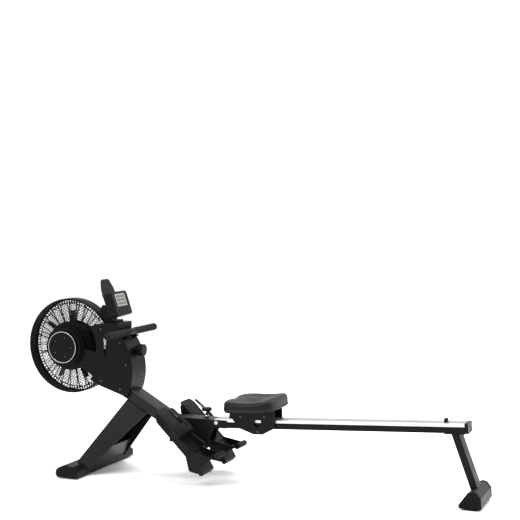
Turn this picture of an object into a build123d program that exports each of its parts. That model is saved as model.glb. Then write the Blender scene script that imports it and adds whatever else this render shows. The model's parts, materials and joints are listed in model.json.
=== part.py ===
"""Folding air rowing machine, built as separate pieces.

Millimetres. +X runs from the fan at the front to the rear foot, +Y is to the right of
someone who sits on the seat and faces the fan, +Z is up. The origin is on the floor,
under the middle of the machine's bounding box.
"""
from build123d import *
import math
import os

os.makedirs("parts", exist_ok=True)

# ---------------------------------------------------------------- driving sizes
half_length = 1091.0        # half of the overall length, fan edge to rear foot
layout_shift = 7.0          # from the layout's zero below to the middle of the overall length
floor_pad = 6.0             # height of every rubber pad
running = 0.05              # radial clearance of a shaft in a turning part
seat_gap = 0.3              # gap between touching round faces on two bodies
wall = 3.0                  # steel and plastic wall
screw_head = 4.5            # radius of the small screw heads

# main beam: a rectangular tube that slopes down to the rear
beam_width = 100.0
beam_height = 50.0
beam_corner = 8.0
beam_slope = 29.7
beam_x = -450.0             # a point on the top face, on the centre line
beam_z = 332.0
beam_up = -250.0            # where the tube starts and ends, along its length
beam_down = 320.0

# front leg and front foot
leg_top = (-102.5, 12.4)    # along the beam, where the leg meets its underside
leg_bottom = (-130.5, -63.8)
leg_reach = 381.0           # from the beam's top face, square to it
leg_top_half = 50.0
leg_foot_half = 172.0
foot_rear = -702.0
foot_depth = 115.0
foot_height = 56.0
foot_tube_half = 235.0
foot_cap = 29.0
wheel_radius = 22.0
wheel_width = 18.0

# fan, its cage and its axle
fan_radius = 222.0
fan_x = -half_length + fan_radius - layout_shift
fan_z = 571.0
cage_half = 32.0
sleeve_radius = 11.0
sleeve_end = -17.0          # how far the pulley's sleeve reaches into the fan
hub_half = 25.0
grille_thick = 4.0
hub_radius = 110.0
hub_front = 100.0
vane_count = 7
vane_outer = 165.0
vane_half = 20.0
axle_radius = 6.0

# drive casing
side_frame_in = beam_width / 2 + 10     # inner face of the two steel side frames
casing_half = side_frame_in + 6
spine_half = side_frame_in - 8
casing_top = 690.0
casing_rear_x = -600.0
drum_x = -600.0
drum_z = 470.0
drum_radius = 28.0
strap_width = 25.0
strap_thick = 2.0
drum_pulley_radius = 36.0
fan_pulley_radius = 18.0
belt_in = side_frame_in - 13         # inner side of the belt, from the centre plane
belt_wide = 10.0
belt_thick = 3.0
guide_radius = 10.0

# handle
handle_x = -566.0
handle_z = 648.0
handle_half = 233.0
handle_tube = 12.0
grip_radius = 16.6
collar_half = 30.0

# console
face_x = -614.0
face_z = 779.0
face_tilt = 19.0
console_half_width = 72.0
console_half_height = 57.0
console_depth = 50.0
button_count = 4
button_pitch = 24.0
button_radius = 6.0
screen_top = -46.0          # down the face, from its middle
screen_low = 14.0
screen_half = 46.0
button_drop = 36.0          # below the middle of the face

# rail, seat and rear foot
rail_x = -130.0
rail_z = 278.0
rail_slope = 3.07
rail_length = 1128.0
rail_width = 78.0
rail_beam_height = 26.0
rail_track_height = 14.0
fold_x = -116.0
fold_z = 264.0
seat_mid = 191.0            # along the rail
seat_length = 242.0
seat_half_width = 150.0
seat_low = 47.0             # underside of the pad above the rail
seat_thick = 54.0
roller_radius = 15.0
roller_offset = 56.0
sleeve_size = 9.0           # radius of the sleeve between a pair of rollers
seat_forward = 50.0         # travel from the rest position to the stops
seat_travel = 780.0
low_roller_radius = 10.0
carriage_in = 46.0
rear_leg_width = 78.0
rear_leg_thick = 30.0
rear_leg_slope = 20.2
rear_foot_half = 92.0
rear_foot_cap = 18.0

# footrests
plate_x = -313.0            # a point on the foot plate's face
plate_z = 286.0
plate_slope = 45.5
plate_up = -54.0
plate_down = 243.0
footrest_in = 68.0
footrest_out = 180.0
footrest_axle_x = -229.0
footrest_axle_z = 177.0
footrest_axle_radius = 8.0


# ---------------------------------------------------------------- helpers
def save(name, *solids):
    """Write the solids of one piece to its own STEP file, with the origin at mid-length."""
    shapes = []
    for solid in solids:
        shapes.extend((Pos(layout_shift, 0, 0) * solid).solids())
    body = shapes[0] if len(shapes) == 1 else Compound(children=shapes)
    export_step(body, os.path.join("parts", name + ".step"))


def block(x0, x1, y0, y1, z0, z1):
    centre = Pos((x0 + x1) / 2, (y0 + y1) / 2, (z0 + z1) / 2)
    return centre * Box(x1 - x0, y1 - y0, z1 - z0)


def rod(x, z, radius, y0, y1):
    """A round bar along Y."""
    return Pos(x, (y0 + y1) / 2, z) * Rot(90, 0, 0) * Cylinder(radius, abs(y1 - y0))


def ring(x, z, outer, inner, y0, y1):
    return rod(x, z, outer, y0, y1) - rod(x, z, inner, y0 - 1, y1 + 1)


def upright(x, y, radius, z0, z1):
    return Pos(x, y, (z0 + z1) / 2) * Cylinder(radius, z1 - z0)


def drawn(points, corner=0):
    """A face on the X-Z plane from (x, z) points, with its corners rounded."""
    face = make_face(Polyline(*[(x, 0, z) for x, z in points], close=True))
    if corner:
        face = fillet(face.vertices(), corner)
    return face


def swept(face, y0, y1):
    """A face on the X-Z plane, drawn out along Y."""
    return Pos(0, y0, 0) * extrude(face, amount=y1 - y0, dir=(0, 1, 0))


def plate(points, y0, y1, corner=0):
    return swept(drawn(points, corner), y0, y1)


def both(shape):
    """The piece and its mirror image on the other side of the centre plane."""
    return [shape, mirror(shape, about=Plane.XZ)]


def section(width, height, corner, x0, x1):
    """A rounded bar along X whose top face is on Z = 0."""
    shape = Plane.YZ * Pos(0, -height / 2) * RectangleRounded(width, height, corner)
    return Pos(x0, 0, 0) * extrude(shape, amount=x1 - x0)


def merged(shapes):
    total = shapes[0]
    for shape in shapes[1:]:
        total = total + shape
    return total


guide_x = casing_rear_x - 18.0
guide_z = handle_z - guide_radius - strap_thick / 2 - seat_gap
guide_axle_radius = 3.0
axle_places = [(fan_x, fan_z, axle_radius), (drum_x, drum_z, axle_radius),
               (guide_x, guide_z, guide_axle_radius)]
side_frame_blocks = (-205.0, -160.0)

on_beam = Pos(beam_x, 0, beam_z) * Rot(0, beam_slope, 0)
on_rail = Pos(rail_x, 0, rail_z) * Rot(0, -rail_slope, 0)
on_plate = Pos(plate_x, 0, plate_z) * Rot(0, plate_slope, 0)
on_face = Pos(face_x, 0, face_z) * Rot(0, 90 - face_tilt, 0)


# ---------------------------------------------------------------- frame
def main_beam():
    outer = section(beam_width, beam_height, beam_corner, beam_up, beam_down)
    inner = Pos(0, 0, -wall) * section(
        beam_width - 2 * wall, beam_height - 2 * wall, beam_corner - wall, beam_up - 1, beam_down + 1)
    end = block(beam_down, beam_down + wall, -beam_width / 2, beam_width / 2, -beam_height, 0)
    end = fillet(end.edges().filter_by(Axis.X), beam_corner)
    carriers = [block(u - 14, u + 14, beam_width / 2, side_frame_in, -38, -14) for u in side_frame_blocks]
    tube = on_beam * merged([outer - inner, end] + [bar for carrier in carriers for bar in both(carrier)])
    sleeve = rod(footrest_axle_x, footrest_axle_z, 13, beam_width / 2 - wall, footrest_in + 16)
    tube = merged([tube] + both(sleeve))
    return tube - rod(footrest_axle_x, footrest_axle_z, footrest_axle_radius, -beam_width, beam_width)


def beam_solid():
    """The beam's outside, for cutting what lies against it."""
    bar = block(beam_up - 1, beam_down + wall, -beam_width / 2, beam_width / 2, -beam_height, 0)
    return on_beam * bar


def foot_profile():
    low = floor_pad
    top = low + foot_height
    front = foot_rear - foot_depth
    points = [(front + 6, low), (front, low + 18), (front + 14, top - 14), (front + 46, top),
              (foot_rear - 24, top - 6), (foot_rear, low + 30), (foot_rear, low)]
    return drawn(points, 5)


def front_foot():
    outer = swept(foot_profile(), -foot_tube_half, foot_tube_half)
    inner = swept(offset(foot_profile(), -wall), -foot_tube_half - 1, foot_tube_half + 1)
    return outer - inner


wheel_x = foot_rear - foot_depth + wheel_radius - 2
wheel_z = wheel_radius + 3
wheel_y = foot_tube_half + 14


def front_foot_caps():
    cap = swept(foot_profile(), foot_tube_half, foot_tube_half + foot_cap)
    cap = fillet(cap.faces().sort_by(Axis.Y)[-1].edges(), 4)
    half = wheel_width / 2 + 1
    pocket = rod(wheel_x, wheel_z, wheel_radius + 3, wheel_y - half, wheel_y + half)
    mouth = block(wheel_x - 60, wheel_x, wheel_y - half, wheel_y + half, 0, wheel_z + wheel_radius + 3)
    under = block(wheel_x - 1, wheel_x + wheel_radius + 3, wheel_y - half, wheel_y + half, 0, wheel_z)
    cap = cap - pocket - mouth - under
    return both(cap + rod(wheel_x, wheel_z, 4, wheel_y - half - 1, wheel_y + half + 1))


def transport_wheel(side):
    half = wheel_width / 2
    tyre = rod(wheel_x, wheel_z, wheel_radius, wheel_y - half, wheel_y + half)
    bore = rod(wheel_x, wheel_z, 4 + running, wheel_y - half - 1, wheel_y + half + 1)
    tyre = fillet(tyre.edges(), 3) - bore
    return tyre if side > 0 else mirror(tyre, about=Plane.XZ)


def front_foot_pads():
    centre = foot_rear - foot_depth / 2
    pad = block(centre - 40, centre + 42, foot_tube_half - 48, foot_tube_half - 4, 0, floor_pad)
    return both(fillet(pad.edges().filter_by(Axis.Z), 8))


def leg_frustum(inset, low):
    """The leg's outside, or its inside drawn in by a wall."""
    (t0, t1), (b0, b1) = leg_top, leg_bottom
    stretch = low / (leg_reach - beam_height)
    b0 = b0 + (b0 - t0) * stretch
    b1 = b1 + (b1 - t1) * stretch
    half = leg_foot_half + (leg_foot_half - leg_top_half) * stretch
    high = Plane.XY.offset(-beam_height) * Pos((t0 + t1) / 2, 0) * Rectangle(
        t1 - t0 - 2 * inset, 2 * (leg_top_half - inset))
    deep = Plane.XY.offset(-leg_reach - low) * Pos((b0 + b1) / 2, 0) * Rectangle(
        b1 - b0 - 2 * inset, 2 * (half - inset))
    return on_beam * loft([high, deep])


def front_leg():
    outer = leg_frustum(0, 24)
    inner = leg_frustum(wall, 24)
    mouth = on_beam * Pos(8, 0, 0) * on_beam.inverse() * leg_frustum(wall, 24)
    foot = swept(foot_profile(), -foot_tube_half, foot_tube_half)
    web = outer - inner - mouth
    lower = plate([(foot_rear - 20, 40), (foot_rear + 6, 40), (foot_rear + 60, 118), (foot_rear + 56, 121)],
                  -leg_foot_half, leg_foot_half) & inner
    return merged([web, lower]) - foot


def centre_bracket():
    half = 40.0
    top = 275.0
    outline = [(-352, top), (-138, top), (-134, 240), (-164, 160), (-352, 160)]
    inside = [(-340, top - wall), (-130, top - wall), (-130, 150), (-352, 150)]
    shell = plate(outline, -half, half) - plate(inside, -half + wall, half - wall)
    collar = upright(pin_x, 0, 8, top, top + 16)
    hole = upright(pin_x, 0, 4 + running, top - 10, top + 20)
    return merged([shell - beam_solid(), collar] + hinge_ears()) - hole


pin_x = -183.0
pin_top = 275.0
tongue_z = 246.0
tongue_thick = 7.0


def pull_pin():
    stem = upright(pin_x, 0, 4, tongue_z + 5, pin_top + 30)
    cap = Pos(pin_x, 0, pin_top + 38) * Cylinder(23, 16)
    return stem + fillet(cap.edges(), 6)


def hinge_ears():
    points = [(-176, 244), (-176, 268), (-140, 275), (-72, 275), (-64, 268), (-64, 244), (-72, 240),
              (-140, 240)]
    ear = plate(points, 40, 44)
    stud = rod(fold_x + 27, fold_z - 1, 6.5, 44, 48)
    return both(ear + stud - rod(fold_x, fold_z, 5, 39, 45))


def fold_bolt():
    shank = rod(fold_x, fold_z, 5, -47, 47)
    heads = [rod(fold_x, fold_z, 8, 44, 50), rod(fold_x, fold_z, 8, -50, -44)]
    return merged([shank] + heads)


# ---------------------------------------------------------------- casing and side frames
def casing_face():
    arc_radius = 162.0
    angles = [math.radians(a) for a in (-9, 15, 38.5)]
    arc = [(fan_x + arc_radius * math.cos(a), 0, fan_z + arc_radius * math.sin(a)) for a in angles]
    spine_top = (casing_rear_x + 4, 0, 645)
    spine_low = (-538, 0, 392)
    corners = [arc[2], (-670, 0, casing_top), (casing_rear_x, 0, casing_top), (casing_rear_x, 0, 645),
               spine_top]
    lower = [spine_low, (-556, 0, 352), (-704, 0, 400), (-747, 0, 423), (-735, 0, 443), (-790, 0, 475),
             (-905, 0, 540), (-905, 0, 602), (-830, 0, 612), (-752, 0, 553), arc[0]]
    edges = [Line(a, b) for a, b in zip(corners, corners[1:])]
    edges.append(ThreePointArc(spine_top, (-531, 0, 520), spine_low))
    edges.extend(Line(a, b) for a, b in zip(lower, lower[1:]))
    edges.append(ThreePointArc(arc[0], arc[1], arc[2]))
    return make_face(edges)


screw_places = [(-590, 600), (-560, 500), (-590, 388), (-690, 420), (-690, 660)]


def casing_slot(y0, y1):
    points = [(-671, 642), (-663, 625), (-664, 545), (-668, 533), (-675, 545), (-676, 625)]
    return plate(points, y0, y1)


def belt_loop(grow):
    """The outline of the belt's path on its two pulleys, on the X-Z plane."""
    small = Pos(fan_x, fan_z) * Circle(fan_pulley_radius + grow)
    large = Pos(drum_x, drum_z) * Circle(drum_pulley_radius + grow)
    return make_hull(small.edges() + large.edges())


def belt_space():
    """Room for the belt inside a cover."""
    room = Plane.XZ * belt_loop(10)
    return Pos(0, belt_in - 1, 0) * extrude(room, amount=side_frame_in - belt_in + 1, dir=(0, 1, 0))


def casing_shell(side):
    outer = swept(casing_face(), spine_half, casing_half)
    inner = swept(offset(casing_face(), -wall, kind=Kind.INTERSECTION), spine_half - 1, casing_half - wall)
    shell = outer - inner - casing_slot(0, casing_half + 1)
    for x, z in screw_places:
        shell = shell - rod(x, z, 2.5, casing_half - wall - 1, casing_half + 1)
    shell = shell - rod(fan_x, fan_z, 30, 0, casing_half + 1) - belt_space()
    return shell if side > 0 else mirror(shell, about=Plane.XZ)


def casing_screws():
    return [piece for x, z in screw_places for piece in both(
        rod(x, z, screw_head, casing_half, casing_half + 2)
        + rod(x, z, 2.5, casing_half - wall, casing_half + 1))]


def casing_spine():
    outer = swept(casing_face(), -spine_half, spine_half)
    inner = swept(offset(casing_face(), -wall, kind=Kind.INTERSECTION), -spine_half - 1, spine_half + 1)
    cage = rod(fan_x, fan_z, fan_radius + 6, -100, 100)
    keep = block(-760, -500, -spine_half, spine_half, 383, 800)
    strip = (outer - inner - cage) & keep
    strip = strip - beam_solid()
    strap_slot = block(casing_rear_x - 10, casing_rear_x + 10, -18, 18, handle_z - 7, handle_z + 7)
    strip = max((strip - strap_slot).solids(), key=lambda s: s.volume)
    seat = Pos(knob_x, 0, knob_z) * Rot(0, 90, 0) * Cylinder(19, 12)
    seat = seat - swept(casing_face(), -spine_half, spine_half)
    return strip + seat - knob_hole()


knob_z = 565.0
knob_x = -536.0


def knob_hole():
    return Pos(knob_x, 0, knob_z) * Rot(0, 90, 0) * Cylinder(5.05, 60)


def side_frames():
    """The two steel plates that carry the axles, with the posts that hold the grilles."""
    inner, outer = side_frame_in, side_frame_in + wall
    points = [(-888, 560), (-884, 594), (-846, 594), (-746, 538), (-610, 518), (-556, 470), (-556, 372),
              (-640, 400), (-690, 425), (-742, 458)]
    sheet = plate(points, inner, outer, 8)
    for x, z, radius in axle_places:
        sheet = sheet - rod(x, z, radius, inner - 1, outer + 1)
    posts = []
    for angle in (200, 75, -25):
        x = fan_x + 66 * math.cos(math.radians(angle))
        z = fan_z + 66 * math.sin(math.radians(angle))
        posts.append(rod(x, z, 6, cage_half, inner))
    return both(merged([sheet] + posts))


def drive_axles():
    return [rod(x, z, radius, -casing_half + wall, casing_half - wall) for x, z, radius in axle_places]


# ---------------------------------------------------------------- fan cage
def grille(side):
    y0, y1 = cage_half - grille_thick, cage_half
    rim = ring(fan_x, fan_z, fan_radius, fan_radius - 20, y0, y1)
    hub = ring(fan_x, fan_z, hub_radius + 3, 34, y0, y1)
    middle = ring(fan_x, fan_z, 162, 158, y0, y1)
    bars = [rim, hub, middle]
    for turn in range(24):
        bar = block(hub_radius, fan_radius - 10, y0, y1, -1.5, 1.5)
        bars.append(Pos(fan_x, 0, fan_z) * Rot(0, turn * 15 + 7, 0) * bar)
    total = merged(bars)
    return total if side > 0 else mirror(total, about=Plane.XZ)


def cage_band():
    half = cage_half - grille_thick
    return ring(fan_x, fan_z, fan_radius, fan_radius - wall, -half, half)


def hub_cover(side):
    steps = [(hub_radius, cage_half + 0.3, 44), (98, 44, 76), (90, 76, 89), (77, 89, hub_front)]
    outer = merged([rod(fan_x, fan_z, r, y0, y1) for r, y0, y1 in steps])
    inner = merged([rod(fan_x, fan_z, r - wall, y0 - wall - 1, y1 - wall) for r, y0, y1 in steps])
    arm = swept(casing_face(), 0, casing_half)
    cover = outer - inner - arm - belt_space()
    cover = max(cover.solids(), key=lambda s: s.volume)
    cover = cover + ring(fan_x, fan_z, 74, 70, hub_front, hub_front + 2)
    return cover if side > 0 else mirror(cover, about=Plane.XZ)


# ---------------------------------------------------------------- fan and drive
def fan_impeller():
    hub = rod(fan_x, fan_z, 28, -hub_half, hub_half)
    disc = rod(fan_x, fan_z, 78, -3, 3)
    parts = [hub, disc]
    for turn in range(vane_count):
        vane = block(25, vane_outer, -vane_half, vane_half, -2, 2)
        parts.append(Pos(fan_x, 0, fan_z) * Rot(0, -90 - turn * 360 / vane_count, 0) * vane)
    total = merged(parts) - rod(fan_x, fan_z, axle_radius + running, -60, 60)
    return total - rod(fan_x, fan_z, sleeve_radius + running, -60, sleeve_end - 1)


def fan_pulley():
    wheel = rod(fan_x, fan_z, fan_pulley_radius, -belt_in - belt_wide, -belt_in)
    rims = [rod(fan_x, fan_z, fan_pulley_radius + 4, y - 0.6, y + 0.6)
            for y in (-belt_in - belt_wide - 0.6, -belt_in + 0.6)]
    sleeve = rod(fan_x, fan_z, sleeve_radius, -belt_in, sleeve_end - 1.5)
    total = merged([wheel, sleeve] + rims)
    return total - rod(fan_x, fan_z, axle_radius + running, -100, 0)


def strap_drum():
    """The drum that winds the strap, its sleeve and the large belt pulley."""
    core = rod(drum_x, drum_z, drum_radius, -14, 14)
    cheeks = [rod(drum_x, drum_z, 37, y, y + 2) for y in (-16, 14)]
    sleeve = rod(drum_x, drum_z, 12, -belt_in, -16)
    wheel = rod(drum_x, drum_z, drum_pulley_radius, -belt_in - belt_wide, -belt_in)
    rims = [rod(drum_x, drum_z, drum_pulley_radius + 4, y - 0.6, y + 0.6)
            for y in (-belt_in - belt_wide - 0.6, -belt_in + 0.6)]
    total = merged([core, sleeve, wheel] + cheeks + rims)
    return total - rod(drum_x, drum_z, axle_radius + running, -100, 100)


def drive_belt():
    band = Plane.XZ * (belt_loop(seat_gap + belt_thick) - belt_loop(seat_gap))
    return Pos(0, -belt_in - 0.5, 0) * extrude(band, amount=belt_wide - 1, dir=(0, -1, 0))


def recoil_case():
    drum = ring(drum_x, drum_z, 36, axle_radius, 18, 48)
    post = rod(drum_x + 22, drum_z + 18, 6, 48, side_frame_in)
    second = rod(drum_x - 22, drum_z - 14, 6, 48, side_frame_in)
    return drum + post + second


def guide_roller():
    core = rod(guide_x, guide_z, guide_radius, -15, 15)
    cheeks = [rod(guide_x, guide_z, guide_radius + 3, y, y + 2) for y in (-17, 15)]
    return merged([core] + cheeks) - rod(guide_x, guide_z, guide_axle_radius + running, -20, 20)


def inner_strap():
    """The strap from the drum up to the guide roller."""
    x = guide_x - guide_radius - seat_gap - strap_thick
    low = drum_z + 2
    return block(x, x + strap_thick, -strap_width / 2, strap_width / 2, low, guide_z)


# ---------------------------------------------------------------- handle
def handle_bar():
    bar = rod(handle_x, handle_z, handle_tube, -handle_half + 4, handle_half - 4)
    collar = rod(handle_x, handle_z, 15.5, -collar_half, collar_half)
    tab = block(handle_x - 25, handle_x - 10, -15, 15, handle_z - 5, handle_z + 5)
    return bar + collar + tab


def handle_grip(side):
    grip = rod(handle_x, handle_z, grip_radius, collar_half, handle_half)
    grip = fillet(grip.edges().sort_by(Axis.Y)[-1], 9)
    grip = grip - rod(handle_x, handle_z, handle_tube, collar_half - 1, handle_half - 4)
    return grip if side > 0 else mirror(grip, about=Plane.XZ)


def pull_strap():
    tail = handle_x - 25
    return block(guide_x, tail, -strap_width / 2, strap_width / 2,
                 handle_z - strap_thick / 2, handle_z + strap_thick / 2)


def handle_cradle():
    top = handle_z - grip_radius - 0.5
    points = [(casing_rear_x, top - 20), (casing_rear_x, top), (handle_x + 14, top), (handle_x + 14, top - 6),
              (casing_rear_x + 12, top - 20)]
    shelf = plate(points, 33, 45)
    back = block(casing_rear_x, casing_rear_x + 3, -50, 50, top - 26, top - 12)
    arc = swept(casing_face(), -spine_half, spine_half)
    return merged(both(shelf) + [back]) - arc


# ---------------------------------------------------------------- console
mast_half = 26.0
tilt_x = -690.0
tilt_z = 752.0
tilt_down = 10.0            # how far the console tips down from its rest position, in degrees


def housing_room(angle):
    """The space the console's housing takes up when it is tilted, with a little to spare."""
    spare = 3.0
    body = Box(2 * console_half_height + spare, 2 * console_half_width + spare, console_depth + spare)
    at_rest = on_face * Pos(0, 0, -console_depth / 2) * body
    return Pos(tilt_x, 0, tilt_z) * Rot(0, angle, 0) * Pos(-tilt_x, 0, -tilt_z) * at_rest


def console_mast():
    foot = block(-700, -628, -34, 34, casing_top, casing_top + 10)
    arm = plate([(-700, casing_top), (-640, casing_top), (-666, 718), (-676, 752), (-682, 764), (-702, 768),
                 (-716, 748)], -mast_half, mast_half)
    mast = foot + arm
    gap = block(-740, -640, -13, 13, 730, 790)
    mast = mast - gap - rod(fan_x, fan_z, fan_radius + 2, -100, 100)
    for angle in (0, tilt_down / 2, tilt_down):
        mast = mast - housing_room(angle)
    return mast + rod(tilt_x, tilt_z, 4, -mast_half - 2, mast_half + 2)


def console_housing():
    body = Box(2 * console_half_height, 2 * console_half_width, console_depth)
    body = fillet(body.edges().filter_by(Axis.Z), 16)
    body = fillet(body.faces().sort_by(Axis.Z)[0].edges(), 9)
    body = fillet(body.faces().sort_by(Axis.Z)[-1].edges(), 3)
    body = on_face * Pos(0, 0, -console_depth / 2) * body
    screen_pocket = on_face * block(screen_top, screen_low, -screen_half, screen_half, -2, 1)
    body = body - screen_pocket
    for y in button_rows():
        body = body - on_face * Pos(button_drop, y, 0) * Cylinder(button_radius + seat_gap, 10)
    lug = plate([(-650, 735), (-650, 765), (-684, 762), (-698, 756), (-698, 748), (-690, 743)], -12.7, 12.7)
    return (body + lug) - rod(tilt_x, tilt_z, 4 + running, -30, 30)


def button_rows():
    first = -(button_count - 1) / 2 * button_pitch
    return [first + i * button_pitch for i in range(button_count)]


def console_screen():
    return on_face * block(screen_top, screen_low, -screen_half, screen_half, -2, -0.5)


def console_button(y):
    cap = Pos(0, 0, -0.5) * Cylinder(button_radius, 5)
    return on_face * Pos(button_drop, y, 0) * fillet(cap.edges().sort_by(Axis.Z)[-1], 1)


def media_holder():
    thick = 5.0
    half_base, half_top, rise = 60.0, 30.0, 84.0
    base = -console_half_height + 10
    outline = Polyline((base, -half_base, 0), (base, half_base, 0), (base - 40, half_base - 6, 0),
                       (base - rise + 6, half_top + 6, 0), (base - rise, half_top - 6, 0),
                       (base - rise, -half_top + 6, 0), (base - rise + 6, -half_top - 6, 0),
                       (base - 40, -half_base + 6, 0), close=True)
    fin = Pos(0, 0, -console_depth - thick) * extrude(make_face(outline), amount=thick, dir=(0, 0, 1))
    return on_face * fin


# ---------------------------------------------------------------- resistance knob
def resistance_knob():
    face = knob_x + 9
    cap = Circle(27)
    for turn in range(10):
        angle = math.radians(turn * 36)
        cap = cap - Pos(30 * math.cos(angle), 30 * math.sin(angle)) * Circle(5.5)
    cap = extrude(cap, amount=28)
    shaft = Pos(0, 0, -20) * Cylinder(5, 44)
    return Pos(face, 0, knob_z) * Rot(0, 90, 0) * (cap + shaft)


# ---------------------------------------------------------------- rail and rear foot
def rail_beam():
    top = -rail_track_height
    outer = Pos(0, 0, top) * section(rail_width, rail_beam_height, 3, 0, rail_length)
    inner = Pos(0, 0, top - 2.5) * section(rail_width - 5, rail_beam_height - 5, 1, -1, rail_length + 1)
    beam = on_rail * (outer - inner) + rail_tongue()
    return beam - rod(fold_x, fold_z, 5 + running, -60, 60)


def rail_track():
    track = section(rail_width, rail_track_height, 2, 0, rail_length)
    for y in (-24, 24):
        track = track - block(-1, rail_length + 1, y - 10, y + 10, -1.2, 1)
    track = track - block(-1, rail_length + 1, -5, 5, -4, 1)
    return on_rail * track - rod(fold_x, fold_z, 5 + running, -60, 60)


def rail_tongue():
    inside = 44.0
    bar = block(-206, rail_x + inside, -15, 15, tongue_z, tongue_z + tongue_thick)
    lift = block(rail_x + 20, rail_x + inside, -15, 15, tongue_z - 4, tongue_z + tongue_thick)
    hollow = on_rail * Pos(0, 0, -rail_track_height - 2.5) * section(
        rail_width - 5, rail_beam_height - 5, 1, 0, rail_length)
    ahead = block(-206, rail_x - 0.5, -15, 15, 200, 300)
    bar = (bar & ahead) + (merged([bar, lift]) & hollow) + block(
        rail_x - 1, rail_x + 1, -15, 15, tongue_z, tongue_z + tongue_thick)
    return bar - upright(pin_x, 0, 5, 200, 300) - rod(fold_x, fold_z, 5.5, -60, 60)


def rail_end_cap():
    height = rail_track_height + rail_beam_height
    cap = Pos(0, 0, 1.5) * section(rail_width + 3, height + 3, 3, rail_length, rail_length + 14)
    return on_rail * cap


def rail_stops():
    stops = []
    length = 14.0
    front = seat_mid - roller_offset - sleeve_size - seat_forward - length / 2
    rear = seat_mid + roller_offset + sleeve_size + seat_travel + length / 2
    for s in (front, rear):
        stop = block(s - length / 2, s + length / 2, -11, 11, 0, 16)
        stem = block(s - length / 2, s + length / 2, -4.9, 4.9, -4, 0)
        stops.append(on_rail * (fillet(stop.edges().filter_by(Axis.Y).group_by(Axis.Z)[-1], 2) + stem))
    return stops


leg_top_x = 944.0


def leg_bar(width, thick, x, z_top, z_low):
    """The sloping rear leg, cut level at two heights."""
    lean = math.tan(math.radians(rear_leg_slope))
    flat = thick / math.cos(math.radians(rear_leg_slope))
    top_x = x - (z_top - 284.0) * lean
    low_x = x + (284.0 - z_low) * lean
    return plate([(top_x, z_top), (top_x + flat, z_top), (low_x + flat, z_low), (low_x, z_low)],
                 -width / 2, width / 2)


def rail_solid():
    return on_rail * block(0, rail_length, -rail_width, rail_width, -rail_track_height - rail_beam_height, 30)


def rear_leg():
    inset = wall / math.cos(math.radians(rear_leg_slope))
    outer = leg_bar(rear_leg_width, rear_leg_thick, leg_top_x, 310, 40)
    outer = fillet(outer.edges().filter_by(lambda e: abs(e.tangent_at(0.5).Y) < 0.1 and e.length > 200), 5)
    inner = leg_bar(rear_leg_width - 2 * wall, rear_leg_thick - 2 * wall, leg_top_x + inset, 320, 30)
    tube = outer - inner - rail_solid() - swept(rear_foot_face(), -200, 200)
    under = -rail_track_height - rail_beam_height
    middle = leg_top_x - rail_x + 12
    flange = on_rail * block(middle - 46, middle + 40, -34, 34, under - 5, under)
    return tube + (flange - inner)


def rear_foot_face():
    rear = half_length - layout_shift
    points = [(rear - 93, floor_pad + 2), (rear - 93, floor_pad + 14), (rear - 58, 70), (rear - 40, 78),
              (rear - 22, 75), (rear - 4, 52), (rear - 1, floor_pad + 8), (rear - 6, floor_pad)]
    return drawn(points, 4)


def rear_foot():
    outer = swept(rear_foot_face(), -rear_foot_half, rear_foot_half)
    inner = swept(offset(rear_foot_face(), -wall), -rear_foot_half - 1, rear_foot_half + 1)
    return outer - inner


def rear_foot_caps():
    face = offset(rear_foot_face(), 1.0)
    lift = block(900, 1200, 0, 200, floor_pad, 200)
    cap = swept(face, rear_foot_half, rear_foot_half + rear_foot_cap) & lift
    cap = cap - block(half_length - layout_shift, half_length + 10, 0, 300, 0, 200)
    return both(cap)


def rear_foot_pads():
    rear = half_length - layout_shift
    pad = block(rear - 76, rear - 20, rear_foot_half - 34, rear_foot_half + rear_foot_cap - 4, 0, floor_pad)
    return both(fillet(pad.edges().filter_by(Axis.Z), 6))


# ---------------------------------------------------------------- seat
seat_front = seat_mid - seat_length / 2
seat_back = seat_mid + seat_length / 2


def seat_pad():
    pad = block(seat_front, seat_back, -seat_half_width, seat_half_width, seat_low, seat_low + seat_thick)
    pad = fillet(pad.edges().filter_by(Axis.Z), 34)
    pad = fillet(pad.faces().sort_by(Axis.Z)[-1].edges(), 12)
    return on_rail * pad


low_roller_z = -rail_track_height - rail_beam_height - low_roller_radius - seat_gap


def seat_carriage():
    """The folded steel bracket: a top plate under the pad and a plate down each side of the rail."""
    f, b, m = seat_front + 8, seat_back - 18, seat_mid + 22
    points = [(f, seat_low), (b, seat_low), (b, -34), (m + 22, low_roller_z - 12),
              (m - 22, low_roller_z - 12), (f + 46, -36), (f + 4, 20)]
    face = drawn(points, 6)
    sheet = swept(face, carriage_in, carriage_in + 4)
    window = plate([(m - 17, 4), (m + 17, 4), (m + 17, -18), (m + 6, -33), (m - 6, -33), (m - 17, -18)],
                   carriage_in - 1, carriage_in + 5, 3)
    sheet = sheet - window
    for s in (seat_mid - roller_offset, seat_mid + roller_offset):
        sheet = sheet - rod(s, roller_radius + seat_gap, 5, carriage_in - 1, carriage_in + 5)
    sheet = sheet - rod(m, low_roller_z, 4, carriage_in - 1, carriage_in + 5)
    top = block(f + 8, b - 8, -carriage_in - 1, carriage_in + 1, seat_low - 4, seat_low)
    pan_half = seat_half_width - 18
    pan = block(seat_front + 16, seat_back - 16, -pan_half, pan_half, seat_low - 3, seat_low)
    return on_rail * merged(both(sheet) + [top, fillet(pan.edges().filter_by(Axis.Z), 28)])


def seat_axles():
    reach = carriage_in + 7
    axles = [rod(s, roller_radius + seat_gap, 5, -reach, reach)
             for s in (seat_mid - roller_offset, seat_mid + roller_offset)]
    axles.append(rod(seat_mid + 22, low_roller_z, 4, -reach, reach))
    return [on_rail * axle for axle in axles]


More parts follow.
